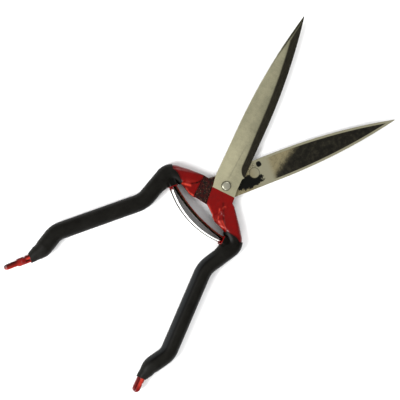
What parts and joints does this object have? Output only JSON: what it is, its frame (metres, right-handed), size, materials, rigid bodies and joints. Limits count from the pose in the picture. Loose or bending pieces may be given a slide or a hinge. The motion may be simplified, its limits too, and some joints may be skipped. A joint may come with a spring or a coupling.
{
  "type": "grass shears",
  "caption": "Sprung hand grass shears: long pointed blades on a rivet, S-bent tubular handles with black sleeves, bow leaf springs and a strap catch.",
  "frame": {"origin": "centre of the pivot rivet, in the plane where the blades slide on each other", "axes": "+X forwards between the blades, +Z along the pivot axis towards the rivet's domed head, +Y to the side of the rear half's handle"},
  "size_m": [0.3329, 0.1534, 0.0134],
  "materials": {
    "blade_steel": "satin ground",
    "spring_steel": "bright rolled",
    "bright_steel": "bright",
    "red_enamel": "gloss",
    "black_sleeve": "satin"
  },
  "bodies": {
    "front_half": {"blade_front": "blade_steel", "handle_front": "red_enamel", "grip_front": "black_sleeve", "spring_socket_front": "red_enamel", "pivot_rivet": "bright_steel", "pivot_washer": "bright_steel", "pivot_disc_spring": "spring_steel"},
    "rear_half": {"blade_rear": "blade_steel", "handle_rear": "red_enamel", "grip_rear": "black_sleeve", "spring_socket_rear": "red_enamel", "catch_rivet": "bright_steel"},
    "catch": {"catch_strap": "red_enamel"},
    "spring_near": {"bow_spring_outer": "spring_steel"},
    "spring_far": {"bow_spring_inner": "spring_steel"}
  },
  "joints": [
    {"name": "pivot", "type": "hinge", "parent": "front_half", "child": "rear_half", "pos_m": [0, 0, 0], "axis": [0, 0, 1], "range_deg": [0, 41.9], "stiffness_Nm_per_rad": 2, "springref_deg": -8.59, "deforming": ["bow_spring_outer", "bow_spring_inner"]},
    {"name": "catch_swing", "type": "hinge", "parent": "rear_half", "child": "catch", "pos_m": [-0.16698, 0.06994, 0], "axis": [0, 0, 1], "range_deg": [-90, 95]},
    {"name": "spring_bend_near", "type": "hinge", "parent": "front_half", "child": "spring_near", "pos_m": [-0.03347, -0.03115, 0], "axis": [0, 0, 1], "range_deg": [0, 65.91], "deforming": ["bow_spring_outer"]},
    {"name": "spring_bend_far", "type": "hinge", "parent": "spring_near", "child": "spring_far", "pos_m": [-0.0405, 0, 0], "axis": [0, 0, 1], "range_deg": [-89.82, 0], "deforming": ["bow_spring_inner"]}
  ],
  "couplings": [
    {"joint": "spring_bend_near", "follows": "pivot", "ratio": 1.5706},
    {"joint": "spring_bend_far", "follows": "pivot", "ratio": -2.1412}
  ]
}
